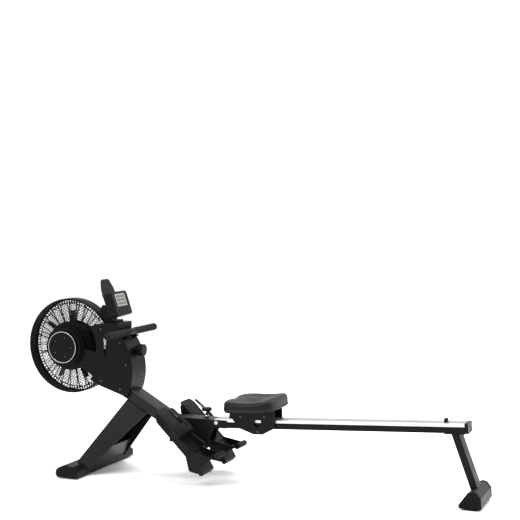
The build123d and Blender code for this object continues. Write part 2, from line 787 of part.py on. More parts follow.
def seat_roller(offset_s):
    s = seat_mid + offset_s
    sleeve = rod(s, roller_radius + seat_gap, sleeve_size, -36, 36)
    wheels = [rod(s, roller_radius + seat_gap, roller_radius, y - 8, y + 8) for y in (-26, 26)]
    total = merged([sleeve] + wheels) - rod(s, roller_radius + seat_gap, 5 + running, -60, 60)
    return on_rail * total


def low_roller():
    total = rod(seat_mid + 22, low_roller_z, low_roller_radius, -36, 36)
    return on_rail * (total - rod(seat_mid + 22, low_roller_z, 4 + running, -60, 60))


# ---------------------------------------------------------------- footrests
def footrest_axle():
    reach = footrest_out - 14
    return rod(footrest_axle_x, footrest_axle_z, footrest_axle_radius, -reach, reach)


def footrest(side):
    inner, outer = footrest_in, footrest_out
    deep = 33.0
    board = block(plate_up, plate_down, inner, outer, -8, 0)
    board = fillet(board.edges().filter_by(Axis.Z).group_by(Axis.X)[0], 22)
    face = drawn([(plate_up + 20, 3), (plate_down, 3), (plate_down, -30), (plate_up + 40, -deep),
                  (plate_up + 14, -14)], 5)
    heel = plate([(plate_down - 62, -8), (plate_down - 52, -deep), (plate_down - 2, -62),
                  (plate_down + 10, -58), (plate_down + 54, -24), (plate_down + 50, -14),
                  (plate_down + 2, -2)], inner, outer)
    heel = fillet(heel.edges().filter_by(Axis.Y), 4)
    hollow_outline = [(plate_down - 50, -deep - 3), (plate_down - 2, -57), (plate_down + 8, -53),
                      (plate_down + 40, -26), (plate_down - 4, -12), (plate_down - 46, -14)]
    heel_hollow = plate(hollow_outline, inner + 40, outer - 40)
    foot_roll = rod(plate_down + 44, -30, 11, inner + 4, outer - 4)
    flanges = [swept(face, inner, inner + 4), swept(face, outer - 4, outer)]
    shelf = plate([(plate_down - 16, -8), (plate_down - 8, 0), (plate_down + 10, 30), (plate_down + 27, 66),
                   (plate_down + 36, 62), (plate_down + 20, 22), (plate_down + 2, -8)], inner + 4, outer - 4)
    cheek = plate([(plate_down - 60, 0), (plate_down + 24, 60), (plate_down + 14, 0)], outer - 4, outer)
    cheeks = [cheek, Pos(0, inner - outer + 4, 0) * cheek]
    hub_y = (inner + 16.3, outer - 16.3)
    roll = rod(plate_down + 34, 68, 12, inner + 10, outer - 10)
    local = on_plate * (merged([board, shelf, heel, fillet(roll.edges(), 6), fillet(foot_roll.edges(), 4)]
                               + flanges + cheeks) - heel_hollow)
    hub = rod(footrest_axle_x, footrest_axle_z, 15, *hub_y)
    webs = on_plate * block(120, 180, inner + 30, inner + 34, -20, -8)
    webs = webs + on_plate * block(120, 180, outer - 40, outer - 36, -20, -8)
    total = merged([local, hub, webs])
    total = total - rod(footrest_axle_x, footrest_axle_z, footrest_axle_radius + running, 50, outer)
    for y0, y1 in ((50, hub_y[0]), (hub_y[1], outer - 4.2)):
        total = total - rod(footrest_axle_x, footrest_axle_z, 15.5, y0, y1)
    slots = [on_plate * block(s, s + 5, inner + 14, outer - 14, -10, 2) for s in (30, 86, 196)]
    for slot in slots:
        total = total - slot
    total = max(total.solids(), key=lambda s: s.volume)
    return total if side > 0 else mirror(total, about=Plane.XZ)


def foot_strap(side):
    inner, outer, rise = footrest_in, footrest_out, 52.0
    strap_start = 62.0
    wide = 50.0
    clear = 1.0
    middle = (inner + outer) / 2
    arch = make_face([
        ThreePointArc((0, inner - clear - 2, -14), (0, middle, rise), (0, outer + clear + 2, -14)),
        Line((0, outer + clear + 2, -14), (0, outer + clear, -14)),
        ThreePointArc((0, outer + clear, -14), (0, middle, rise - 2.5), (0, inner - clear, -14)),
        Line((0, inner - clear, -14), (0, inner - clear - 2, -14))])
    strap = Pos(strap_start, 0, 0) * extrude(arch, amount=wide, dir=(1, 0, 0))
    strap = on_plate * strap
    return strap if side > 0 else mirror(strap, about=Plane.XZ)


# ---------------------------------------------------------------- the pieces
save("main_beam", main_beam())
save("front_leg", front_leg())
save("front_foot", front_foot())
save("front_foot_caps", *front_foot_caps())
save("front_foot_pads", *front_foot_pads())
save("centre_bracket", centre_bracket())
save("fold_bolt", fold_bolt())
save("pull_pin", pull_pin())

save("casing_screws", *casing_screws())
save("casing_spine", casing_spine())
save("side_frames", *side_frames())
save("drive_axles", *drive_axles())
save("cage_band", cage_band())
save("fan_impeller", fan_impeller())
save("fan_pulley", fan_pulley())
save("strap_drum", strap_drum())
save("drive_belt", drive_belt())
save("recoil_case", recoil_case())
save("guide_roller", guide_roller())
save("inner_strap", inner_strap())

save("handle_bar", handle_bar())
save("handle_grips", handle_grip(1), handle_grip(-1))
save("pull_strap", pull_strap())
save("handle_cradle", handle_cradle())

save("console_mast", console_mast())
save("console_housing", console_housing())
save("console_screen", console_screen())
save("media_holder", media_holder())
for number, place in enumerate(button_rows(), start=1):
    save("console_button_" + str(number), console_button(place))
save("resistance_knob", resistance_knob())

save("rail_beam", rail_beam())
save("rail_track", rail_track())
save("rail_end_cap", rail_end_cap())
save("rail_stops", *rail_stops())
save("rear_leg", rear_leg())
save("rear_foot", rear_foot())
save("rear_foot_caps", *rear_foot_caps())
save("rear_foot_pads", *rear_foot_pads())

save("seat_pad", seat_pad())
save("seat_carriage", seat_carriage())
save("seat_axles", *seat_axles())
save("seat_roller_front", seat_roller(-roller_offset))
save("seat_roller_rear", seat_roller(roller_offset))
save("low_roller", low_roller())
save("footrest_axle", footrest_axle())

for side, end in ((-1, "left"), (1, "right")):
    save("wheel_" + end, transport_wheel(side))
    save("casing_" + end, casing_shell(side))
    save("grille_" + end, grille(side))
    save("hub_cover_" + end, hub_cover(side))
    save("footrest_" + end, footrest(side))
    save("foot_strap_" + end, foot_strap(side))
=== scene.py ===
"""Looks for the folding air rowing machine, built round its CAD frame.

Metres, in the frame of the CAD model: +X from the fan to the rear foot, +Y to the
rower's right when facing the fan, +Z up, the floor at Z = 0.
"""
import bmesh
import bpy
import json
import math
from mathutils import Matrix, Vector

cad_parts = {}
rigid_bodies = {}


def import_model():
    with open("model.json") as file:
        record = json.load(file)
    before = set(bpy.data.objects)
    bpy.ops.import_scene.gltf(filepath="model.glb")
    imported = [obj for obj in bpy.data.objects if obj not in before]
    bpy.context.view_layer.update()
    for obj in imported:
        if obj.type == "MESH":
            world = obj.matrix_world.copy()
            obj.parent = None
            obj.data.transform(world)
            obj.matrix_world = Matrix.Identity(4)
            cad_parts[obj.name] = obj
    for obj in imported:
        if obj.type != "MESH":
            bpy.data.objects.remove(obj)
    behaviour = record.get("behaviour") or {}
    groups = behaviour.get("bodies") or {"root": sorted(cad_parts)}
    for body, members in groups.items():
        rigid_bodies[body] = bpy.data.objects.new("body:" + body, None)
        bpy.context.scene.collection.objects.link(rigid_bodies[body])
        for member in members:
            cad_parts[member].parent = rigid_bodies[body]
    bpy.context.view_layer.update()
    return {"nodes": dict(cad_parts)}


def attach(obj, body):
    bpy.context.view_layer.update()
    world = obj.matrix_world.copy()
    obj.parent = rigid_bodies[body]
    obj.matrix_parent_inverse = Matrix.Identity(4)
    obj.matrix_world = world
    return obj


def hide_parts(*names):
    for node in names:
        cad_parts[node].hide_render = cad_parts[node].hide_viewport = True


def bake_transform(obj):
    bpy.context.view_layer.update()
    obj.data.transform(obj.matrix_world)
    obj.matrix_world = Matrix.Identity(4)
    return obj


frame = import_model()
nodes = frame["nodes"]

# ---------------------------------------------------------------- sizes shared with the frame
FAN_X = -0.869
FAN_Z = 0.571
FAN_RADIUS = 0.222
RAIL_START = Vector((-0.123, 0, 0.278))
RAIL_SLOPE = math.radians(3.07)
PLATE_START = Vector((-0.306, 0, 0.286))
PLATE_SLOPE = math.radians(45.5)
FACE_CENTRE = Vector((-0.607, 0, 0.779))
FACE_TILT = math.radians(71)
FOOT_IN = 0.068
FOOT_OUT = 0.180


def local_frame(origin, slope):
    """+X down the slope, +Z square to it, as the CAD's own work planes."""
    return Matrix.Translation(origin) @ Matrix.Rotation(slope, 4, "Y")


ON_RAIL = local_frame(RAIL_START, -RAIL_SLOPE)
ON_PLATE = local_frame(PLATE_START, PLATE_SLOPE)
ON_FACE = local_frame(FACE_CENTRE, FACE_TILT)


# ---------------------------------------------------------------- materials
def shader(name):
    """A new material, its node tree and its main shader."""
    made = bpy.data.materials.new(name)
    made.use_nodes = True
    tree = made.node_tree
    return made, tree, tree.nodes["Principled BSDF"]


def surface_place(tree, stretch=(1, 1, 1)):
    place = tree.nodes.new("ShaderNodeTexCoord")
    scale = tree.nodes.new("ShaderNodeMapping")
    scale.inputs["Scale"].default_value = stretch
    tree.links.new(place.outputs["Object"], scale.inputs["Vector"])
    return scale.outputs["Vector"]


def noise(tree, place, scale, detail=4.0, rough=0.55):
    texture = tree.nodes.new("ShaderNodeTexNoise")
    texture.inputs["Scale"].default_value = scale
    texture.inputs["Detail"].default_value = detail
    texture.inputs["Roughness"].default_value = rough
    tree.links.new(place, texture.inputs["Vector"])
    return texture.outputs["Fac"]


def between(tree, value, low, high, from_low=0.3, from_high=0.7):
    """A texture value, spread over a range."""
    spread = tree.nodes.new("ShaderNodeMapRange")
    spread.inputs["From Min"].default_value = from_low
    spread.inputs["From Max"].default_value = from_high
    spread.inputs["To Min"].default_value = low
    spread.inputs["To Max"].default_value = high
    tree.links.new(value, spread.inputs["Value"])
    return spread.outputs["Result"]


def two_colours(tree, value, first, second):
    ramp = tree.nodes.new("ShaderNodeValToRGB")
    ramp.color_ramp.elements[0].position = 0.3
    ramp.color_ramp.elements[1].position = 0.7
    ramp.color_ramp.elements[0].color = (*first, 1)
    ramp.color_ramp.elements[1].color = (*second, 1)
    tree.links.new(value, ramp.inputs["Fac"])
    return ramp.outputs["Color"]


def bumps(tree, bsdf, height, strength, depth):
    bump = tree.nodes.new("ShaderNodeBump")
    bump.inputs["Strength"].default_value = strength
    bump.inputs["Distance"].default_value = depth
    tree.links.new(height, bump.inputs["Height"])
    tree.links.new(bump.outputs["Normal"], bsdf.inputs["Normal"])


def grained(name, dark, light, rough, grain, strength, depth=0.0004, metallic=0.0, coat=0.0, cells=False,
            stretch=(1, 1, 1), shine=0.09):
    """A surface with cloudy colour, uneven roughness and a fine grain."""
    made, tree, bsdf = shader(name)
    place = surface_place(tree, stretch)
    cloud = noise(tree, place, 9.0)
    tree.links.new(two_colours(tree, cloud, dark, light), bsdf.inputs["Base Color"])
    smear = noise(tree, place, 34.0, 6.0, 0.65)
    tree.links.new(between(tree, smear, rough[0], rough[1]), bsdf.inputs["Roughness"])
    bsdf.inputs["Metallic"].default_value = metallic
    bsdf.inputs["Specular IOR Level"].default_value = 0.5 if metallic else shine
    bsdf.inputs["Coat Weight"].default_value = coat
    bsdf.inputs["Coat Roughness"].default_value = 0.25
    if cells:
        texture = tree.nodes.new("ShaderNodeTexVoronoi")
        texture.inputs["Scale"].default_value = grain
        tree.links.new(place, texture.inputs["Vector"])
        height = texture.outputs["Distance"]
    else:
        height = noise(tree, place, grain, 3.0)
    bumps(tree, bsdf, height, strength, depth)
    return made


def woven(name, dark, light, pitch, direction):
    """Flat webbing: ribs across one direction and finer threads along it."""
    made, tree, bsdf = shader(name)
    place = surface_place(tree)
    waves = []
    for axis, scale in ((direction, pitch), ("Y", pitch * 0.6)):
        wave = tree.nodes.new("ShaderNodeTexWave")
        wave.bands_direction = axis
        wave.inputs["Scale"].default_value = scale
        wave.inputs["Distortion"].default_value = 0.3
        tree.links.new(place, wave.inputs["Vector"])
        waves.append(wave.outputs["Fac"])
    weave = tree.nodes.new("ShaderNodeMath")
    weave.operation = "MULTIPLY"
    tree.links.new(waves[0], weave.inputs[0])
    tree.links.new(waves[1], weave.inputs[1])
    tree.links.new(two_colours(tree, weave.outputs[0], dark, light), bsdf.inputs["Base Color"])
    fuzz = noise(tree, place, 60.0)
    tree.links.new(between(tree, fuzz, 0.7, 0.95), bsdf.inputs["Roughness"])
    bsdf.inputs["Sheen Weight"].default_value = 0.02
    bsdf.inputs["Specular IOR Level"].default_value = 0.1
    bumps(tree, bsdf, weave.outputs[0], 0.6, 0.0006)
    return made


black_paint = grained("black_paint", (0.003, 0.003, 0.0033), (0.006, 0.006, 0.0065), (0.3, 0.46), 900, 0.12,
                      shine=0.11)
beam_paint = grained("beam_paint", (0.005, 0.005, 0.0054), (0.009, 0.009, 0.0096), (0.28, 0.42), 900, 0.12,
                     shine=0.16)
casing_plastic = grained("casing_plastic", (0.002, 0.002, 0.0022), (0.0045, 0.0045, 0.0048), (0.3, 0.46),
                         1400, 0.25)
grille_plastic = grained("grille_plastic", (0.002, 0.002, 0.0022), (0.005, 0.005, 0.005), (0.4, 0.58), 1200,
                         0.2, shine=0.07)
fan_plastic = grained("fan_plastic", (0.002, 0.002, 0.0022), (0.005, 0.005, 0.005), (0.3, 0.45), 700, 0.15)
drive_plastic = grained("drive_plastic", (0.03, 0.03, 0.032), (0.05, 0.05, 0.052), (0.4, 0.6), 700, 0.2)
footrest_plastic = grained("footrest_plastic", (0.0025, 0.0025, 0.0027), (0.006, 0.006, 0.0064), (0.34, 0.55),
                           1300, 0.3)
rubber = grained("rubber", (0.004, 0.004, 0.004), (0.01, 0.01, 0.01), (0.62, 0.85), 800, 0.35, shine=0.15)
grip_foam = grained("grip_foam", (0.004, 0.004, 0.004), (0.012, 0.0115, 0.0115), (0.78, 0.95), 1100, 0.7,
                    0.0006, cells=True, shine=0.15)
seat_vinyl = grained("seat_vinyl", (0.003, 0.003, 0.0034), (0.006, 0.006, 0.0066), (0.34, 0.5), 620, 0.35,
                     0.0005, cells=True, shine=0.16)
rail_metal = grained("rail_metal", (0.52, 0.53, 0.54), (0.66, 0.67, 0.68), (0.24, 0.4), 60, 0.2, 0.0002,
                     metallic=1.0, stretch=(0.6, 14, 14))
rail_paint = grained("rail_paint", (0.003, 0.003, 0.0033), (0.006, 0.006, 0.0064), (0.3, 0.46), 900, 0.12)
bright_steel = grained("bright_steel", (0.42, 0.42, 0.43), (0.6, 0.6, 0.61), (0.2, 0.36), 300, 0.1,
                       metallic=1.0)
dark_steel = grained("dark_steel", (0.05, 0.05, 0.052), (0.09, 0.09, 0.092), (0.3, 0.45), 300, 0.1,
                     metallic=1.0)
silver_trim = grained("silver_trim", (0.36, 0.37, 0.38), (0.52, 0.53, 0.54), (0.25, 0.38), 300, 0.08,
                      metallic=1.0)
screen_face = grained("screen_face", (0.19, 0.19, 0.18), (0.24, 0.235, 0.22), (0.16, 0.26), 500, 0.05,
                      coat=0.3)
segment_ink = grained("segment_ink", (0.05, 0.05, 0.048), (0.07, 0.07, 0.066), (0.3, 0.4), 400, 0.05)
button_rubber = grained("button_rubber", (0.018, 0.018, 0.019), (0.03, 0.03, 0.031), (0.5, 0.7), 900, 0.3)
roller_nylon = grained("roller_nylon", (0.012, 0.012, 0.012), (0.022, 0.022, 0.022), (0.4, 0.6), 500, 0.15)
webbing = woven("webbing", (0.003, 0.003, 0.003), (0.018, 0.018, 0.018), 160.0, "X")
strap_webbing = woven("strap_webbing", (0.004, 0.004, 0.004), (0.018, 0.018, 0.018), 110.0, "Z")
stitch_thread = grained("stitch_thread", (0.03, 0.03, 0.032), (0.05, 0.05, 0.053), (0.7, 0.9), 900, 0.3)
floor_paper = grained("floor_paper", (0.93, 0.93, 0.93), (0.95, 0.95, 0.95), (0.7, 0.8), 20, 0.02)


# ---------------------------------------------------------------- CAD nodes
def dress(name, finish):
    """Give a CAD node its material, and smooth shading with crisp creases."""
    part = nodes[name]
    part.data.materials.clear()
    part.data.materials.append(finish)
    for face in part.data.polygons:
        face.use_smooth = True
        face.material_index = 0
    weld = part.modifiers.new("weld", "WELD")
    weld.merge_threshold = 0.00001
    crease = part.modifiers.new("crease", "EDGE_SPLIT")
    crease.split_angle = math.radians(32)


finishes = {
    black_paint: ["front_foot", "centre_bracket", "side_frames", "seat_carriage", "rear_leg", "rear_foot",
                  "handle_bar"],
    beam_paint: ["main_beam", "front_leg"],
    casing_plastic: ["casing_left", "casing_right", "casing_spine", "front_foot_caps", "rear_foot_caps",
                     "handle_cradle", "console_mast", "console_housing", "media_holder", "resistance_knob",
                     "rail_end_cap", "hub_cover_left", "hub_cover_right", "pull_pin"],
    fan_plastic: ["fan_impeller"],
    drive_plastic: ["fan_pulley", "strap_drum", "recoil_case"],
    footrest_plastic: ["footrest_left", "footrest_right"],
    rubber: ["front_foot_pads", "rear_foot_pads", "rail_stops", "drive_belt"],
    grip_foam: ["handle_grips"],
    rail_metal: ["rail_track"],
    rail_paint: ["rail_beam"],
    grille_plastic: ["cage_band"],
    bright_steel: ["fold_bolt", "drive_axles"],
    dark_steel: ["casing_screws", "seat_axles", "footrest_axle"],
    screen_face: ["console_screen"],
    button_rubber: ["console_button_1", "console_button_2", "console_button_3", "console_button_4"],
    roller_nylon: ["seat_roller_front", "seat_roller_rear", "low_roller", "guide_roller", "wheel_left",
                   "wheel_right"],
    webbing: ["inner_strap"],
}
for finish, names in finishes.items():
    for name in names:
        dress(name, finish)


# ---------------------------------------------------------------- making pieces
def piece(name, verts, faces, finish, body, place=Matrix.Identity(4), smooth=True, weld=True):
    """A mesh with its place in its vertices, riding on a body."""
    mesh = bpy.data.meshes.new(name)
    mesh.from_pydata([place @ Vector(v) for v in verts], [], faces)
    return from_mesh(name, mesh, finish, body, smooth, weld)


def from_mesh(name, mesh, finish, body, smooth=True, weld=True):
    work = bmesh.new()
    work.from_mesh(mesh)
    if weld:
        bmesh.ops.remove_doubles(work, verts=work.verts, dist=0.000001)
    bmesh.ops.recalc_face_normals(work, faces=work.faces)
    work.to_mesh(mesh)
    work.free()
    mesh.materials.clear()
    mesh.materials.append(finish)
    for face in mesh.polygons:
        face.use_smooth = smooth
    made = bpy.data.objects.new(name, mesh)
    bpy.context.scene.collection.objects.link(made)
    if body:
        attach(made, body)
    return made


def lathe(name, profile, finish, body, centre=(FAN_X, FAN_Z), steps=128, sign=1):
    """A closed ring: (radius, y) points turned about an axle along Y."""
    verts = []
    faces = []
    count = len(profile)
    middle_x, middle_z = centre
    for step in range(steps):
        angle = 2 * math.pi * step / steps
        for radius, y in profile:
            x = middle_x + radius * math.cos(angle)
            verts.append((x, sign * y, middle_z + radius * math.sin(angle)))
    for step in range(steps):
        after = (step + 1) % steps
        for k in range(count):
            n = (k + 1) % count
            faces.append((step * count + k, step * count + n, after * count + n, after * count + k))
    return piece(name, verts, faces, finish, body)


# ---------------------------------------------------------------- geometry node trees
class Tree:
    """A geometry node tree with named size inputs, ending in real geometry with a material."""

    def __init__(self, name, **sizes):
        self.group = bpy.data.node_groups.new(name, "GeometryNodeTree")
        self.sizes = sizes
        self.ids = {}
        for label, value in sizes.items():
            kind = "NodeSocketInt" if isinstance(value, int) else "NodeSocketFloat"
            socket = self.group.interface.new_socket(label, in_out="INPUT", socket_type=kind)
            self.ids[label] = socket.identifier
        self.group.interface.new_socket("Geometry", in_out="OUTPUT", socket_type="NodeSocketGeometry")
        self.inlet = self.group.nodes.new("NodeGroupInput")

    def node(self, kind, **links):
        made = self.group.nodes.new(kind)
        for key, value in links.items():
            self.put(made.inputs[key.replace("_", " ")], value)
        return made

    def put(self, socket, value):
        if isinstance(value, bpy.types.NodeSocket):
            self.group.links.new(value, socket)
        else:
            socket.default_value = value

    def size(self, label):
        return self.inlet.outputs[label]

    def maths(self, operation, first, second):
        made = self.group.nodes.new("ShaderNodeMath")
        made.operation = operation
        self.put(made.inputs[0], first)
        self.put(made.inputs[1], second)
        return made.outputs[0]

    def vector(self, x=0.0, y=0.0, z=0.0):
        made = self.node("ShaderNodeCombineXYZ")
        for socket, value in zip(made.inputs, (x, y, z)):
            self.put(socket, value)
        return made.outputs[0]

    def at_origin(self, count):
        """Points that all lie at the origin, one for each copy."""
        line = self.node("GeometryNodeMeshLine", Count=count, Offset=(0, 0, 0))
        return line.outputs[0]

    def index(self):
        return self.node("GeometryNodeInputIndex").outputs[0]

    def box(self, x, y, z):
        return self.node("GeometryNodeMeshCube", Size=self.vector(x, y, z)).outputs[0]

    def moved(self, geometry, offset):
        made = self.node("GeometryNodeTransform", Geometry=geometry, Translation=offset)
        return made.outputs[0]

    def copies(self, points, shape, rotation=None, scale=None):
        made = self.node("GeometryNodeInstanceOnPoints", Points=points, Instance=shape)
        if rotation is not None:
            self.put(made.inputs["Rotation"], rotation)
        if scale is not None:
            self.put(made.inputs["Scale"], scale)
        return made.outputs[0]

    def around(self, count, shape):
        """Copies of a shape, evenly spaced round Z."""
        step = self.maths("DIVIDE", 2 * math.pi, count)
        return self.copies(self.at_origin(count), shape, turn_of(self, step, self.index()))

    def real(self, geometry):
        return self.node("GeometryNodeRealizeInstances", Geometry=geometry).outputs[0]

    def build(self, name, shapes, finish, body, place=Matrix.Identity(4), smooth=False):
        """Join the shapes, make them real, and turn the result into one plain mesh."""
        join = self.group.nodes.new("GeometryNodeJoinGeometry")
        for shape in shapes:
            self.group.links.new(shape, join.inputs[0])
        solid = self.real(join.outputs[0])
        painted = self.node("GeometryNodeSetMaterial", Geometry=solid)
        painted.inputs["Material"].default_value = finish
        outlet = self.group.nodes.new("NodeGroupOutput")
        self.group.links.new(painted.outputs[0], outlet.inputs[0])
        return self.bake(name, finish, body, place, smooth)

    def bake(self, name, finish, body, place, smooth):
        holder = bpy.data.objects.new(name + "_holder", bpy.data.meshes.new(name + "_holder"))
        bpy.context.scene.collection.objects.link(holder)
        pattern = holder.modifiers.new("pattern", "NODES")
        pattern.node_group = self.group
        for label, value in self.sizes.items():
            pattern[self.ids[label]] = value
        bpy.context.view_layer.update()
        seen = holder.evaluated_get(bpy.context.evaluated_depsgraph_get())
        mesh = bpy.data.meshes.new_from_object(seen)
        mesh.name = name
        holder.modifiers.remove(pattern)
        bpy.data.objects.remove(holder)
        mesh.transform(place)
        return from_mesh(name, mesh, finish, body, smooth, weld=False)


def turn_of(tree, step_angle, index):
    """A rotation about Z for copy number index."""
    return tree.vector(z=tree.maths("MULTIPLY", index, step_angle))


# ---------------------------------------------------------------- fan grilles
GRILLE_Y = 0.028
GRILLE_THICK = 0.004
MESH_IN = 0.114
MESH_RINGS = 11
MESH_STEP = 0.0077
SEAM_APART = 0.004
HUB_FRONT = 0.100
HUB_SCREW_CIRCLE = 0.045
SIDES = {"left": -1, "right": 1}


def facing(side):
    """The grille plane: its own Z points outwards along Y."""
    return Matrix.Translation((FAN_X, side * (GRILLE_Y + GRILLE_THICK / 2), FAN_Z)) @ Matrix.Rotation(
        math.radians(90), 4, "X")


def wire_mesh(name, side):
    """The net of thin wires, the doubled radial seams and the slotted ring at the rim."""
    tree = Tree(name, Rings=MESH_RINGS, Inner=MESH_IN, Step=MESH_STEP, Wire=0.0013, Cells=60,
                Tie_Depth=0.0016, Seams=24, Seam_Width=0.0014, Seam_Depth=0.003, Slots=96, Shoulder=0.199,
                Slot_Length=0.0125, Slot_Width=0.0042, Slot_Depth=0.004)
    wire = tree.size("Wire")
    index = tree.index()
    radius = tree.maths("ADD", tree.size("Inner"), tree.maths("MULTIPLY", index, tree.size("Step")))
    odd = tree.maths("MODULO", index, 2.0)
    half_cell = tree.maths("DIVIDE", math.pi, tree.size("Cells"))
    circle = tree.node("GeometryNodeCurvePrimitiveCircle", Resolution=120, Radius=1.0).outputs[0]
    hoops = tree.copies(tree.at_origin(tree.size("Rings")), circle, turn_of(tree, half_cell, odd),
                        tree.vector(radius, radius, 1.0))
    hoops = tree.real(hoops)
    profile = tree.node("GeometryNodeCurvePrimitiveCircle", Resolution=4,
                        Radius=tree.maths("DIVIDE", wire, 1.4)).outputs[0]
    rings = tree.node("GeometryNodeCurveToMesh", Curve=hoops, Profile_Curve=profile).outputs[0]
    spots = tree.node("GeometryNodeCurveToPoints", Curve=hoops, Count=tree.size("Cells")).outputs[0]
    outward = tree.node("FunctionNodeAlignRotationToVector",
                        Vector=tree.node("GeometryNodeInputPosition").outputs[0])
    outward.axis = "X"
    tie = tree.moved(tree.box(tree.size("Step"), wire, tree.size("Tie_Depth")),
                     tree.vector(x=tree.maths("DIVIDE", tree.size("Step"), 2.0)))
    ties = tree.copies(spots, tie, outward.outputs[0])
    reach = tree.maths("MULTIPLY", tree.size("Rings"), tree.size("Step"))
    middle = tree.maths("ADD", tree.size("Inner"), tree.maths("DIVIDE", reach, 2.0))
    shapes = [rings, ties]
    for offset in (-SEAM_APART / 2, SEAM_APART / 2):
        bar = tree.box(reach, tree.size("Seam_Width"), tree.size("Seam_Depth"))
        seam = tree.moved(bar, tree.vector(x=middle, y=offset))
        shapes.append(tree.around(tree.size("Seams"), seam))
    half_slot = tree.maths("DIVIDE", tree.size("Slot_Length"), 2.0)
    block = tree.box(tree.size("Slot_Length"), tree.size("Slot_Width"), tree.size("Slot_Depth"))
    tooth = tree.moved(block, tree.vector(x=tree.maths("ADD", tree.size("Shoulder"), half_slot)))
    shapes.append(tree.around(tree.size("Slots"), tooth))
    return tree.build(name, shapes, grille_plastic, "frame", facing(side))


def eased_ring(outer, inner, low, high, outer_ease, inner_ease):
    """The section of a flat ring with its two front corners cut back by (radius, depth)."""
    return [(outer, low), (outer, high - outer_ease[1]), (outer - outer_ease[0], high),
            (inner + inner_ease[0], high), (inner, high - inner_ease[1]), (inner, low)]


def grille_rim(end, side):
    """The cage's round edge, which stands for the whole grille of the frame."""
    low, high = GRILLE_Y, GRILLE_Y + GRILLE_THICK
    outer = FAN_RADIUS - 0.0005
    inner = FAN_RADIUS - 0.0090
    section = [(outer, low), (outer, low + 0.0015), (outer - 0.0015, high - 0.0004), (outer - 0.0035, high),
               (inner + 0.0010, high), (inner, high - 0.0010), (inner, low)]
    rim = lathe("grille_rim_" + end, section, grille_plastic, "frame", sign=side)
    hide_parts("grille_" + end)


def grille_ring(name, section, finish, side):
    ring = lathe(name, section, finish, "frame", sign=side)


for end, side in SIDES.items():
    fine = wire_mesh("grille_wires_" + end, side)
    back, front = GRILLE_Y, GRILLE_Y + GRILLE_THICK
    grille_rim(end, side)
    grille_ring("grille_step_" + end, eased_ring(0.2015, 0.1975, back, front, (0.001, 0.001), (0.001, 0.001)),
                grille_plastic, side)
    grille_ring("grille_disc_" + end, eased_ring(0.1145, 0.034, back, front, (0.001, 0.0005), (0.001, 0.001)),
                grille_plastic, side)
    grille_ring("hub_trim_" + end,
                eased_ring(0.0735, 0.0700, HUB_FRONT - 0.0005, HUB_FRONT + 0.0027, (0.0007, 0.0007),
                           (0.0008, 0.0007)),
                silver_trim, side)


def screw_ring(name, count, radius, head, finish, body, place):
    """Pan-head screws on a circle, their heads along the place's own Z."""
    flatness = 0.45
    slot_size = 0.0008
    tree = Tree(name, Count=count, Radius=radius, Head=head)
    dome = tree.node("GeometryNodeMeshUVSphere", Segments=16, Rings=8, Radius=tree.size("Head")).outputs[0]
    flat = tree.node("GeometryNodeTransform", Geometry=dome, Scale=(1, 1, flatness)).outputs[0]
    slot_bar = tree.moved(tree.box(tree.maths("MULTIPLY", tree.size("Head"), 1.1), slot_size, slot_size),
                          tree.vector(z=tree.maths("MULTIPLY", tree.size("Head"), 0.44)))
    both = tree.group.nodes.new("GeometryNodeJoinGeometry")
    tree.group.links.new(flat, both.inputs[0])
    tree.group.links.new(slot_bar, both.inputs[0])
    screw = tree.moved(both.outputs[0], tree.vector(x=tree.size("Radius")))
    made = tree.build(name, [tree.around(tree.size("Count"), screw)], finish, body, place, smooth=True)
    return made


for end, side in SIDES.items():
    turned = Matrix.Rotation(math.radians(-90 * side), 4, "X")
    outward = Matrix.Translation((FAN_X, side * HUB_FRONT, FAN_Z)) @ turned
    screw_ring("hub_screws_" + end, 5, HUB_SCREW_CIRCLE, 0.0040, dark_steel, "frame", outward)


# ---------------------------------------------------------------- seat cushion
SEAT_MID = 0.191
SEAT_HALF_LENGTH = 0.121
SEAT_HALF_WIDTH = 0.150
SEAT_LOW = 0.0473
SEAT_HIGH = 0.053
SEAT_STEPS = 96


def seat_outline(angle):
    """Half-size of the cushion at an angle, with a dip in the middle of the front edge."""
    c, s = math.cos(angle), math.sin(angle)
    squareness = 3.6
    dip = 0.016
    dip_spread = 0.28
    along = abs(c / SEAT_HALF_LENGTH) ** squareness
    across = abs(s / SEAT_HALF_WIDTH) ** squareness
    reach = (along + across) ** (-1 / squareness)
    notch = dip * math.exp(-((s / dip_spread) ** 2)) if c < 0 else 0.0
    return reach - notch


def swell(x, y, at_x, at_y, wide_x, wide_y):
    """A smooth bump, one on each side of the middle."""
    return math.exp(-(((x - at_x) / wide_x) ** 2 + ((abs(y) - at_y) / wide_y) ** 2))


def seat_height(x, y):
    """The crowned top: two hollows to sit in, a ridge between, a raised rear edge."""
    crown = SEAT_HIGH - 0.009
    hollow = 0.010 * swell(x, y, 0.008, 0.062, 0.06, 0.05)
    rise = 0.010 * max(0.0, (x - 0.02) / 0.08) ** 2
    lobe = 0.004 * swell(x, y, -0.075, 0.075, 0.035, 0.05)
    return crown - hollow + rise + lobe


def seat_ring(reach_at, height_at):
    """One ring of cushion points; the reach and the height are functions of the angle."""
    ring = []
    for step in range(SEAT_STEPS):
        angle = 2 * math.pi * step / SEAT_STEPS
        reach = reach_at(angle)
        height = SEAT_LOW + height_at(angle)
        ring.append((SEAT_MID + reach * math.cos(angle), reach * math.sin(angle), height))
    return ring


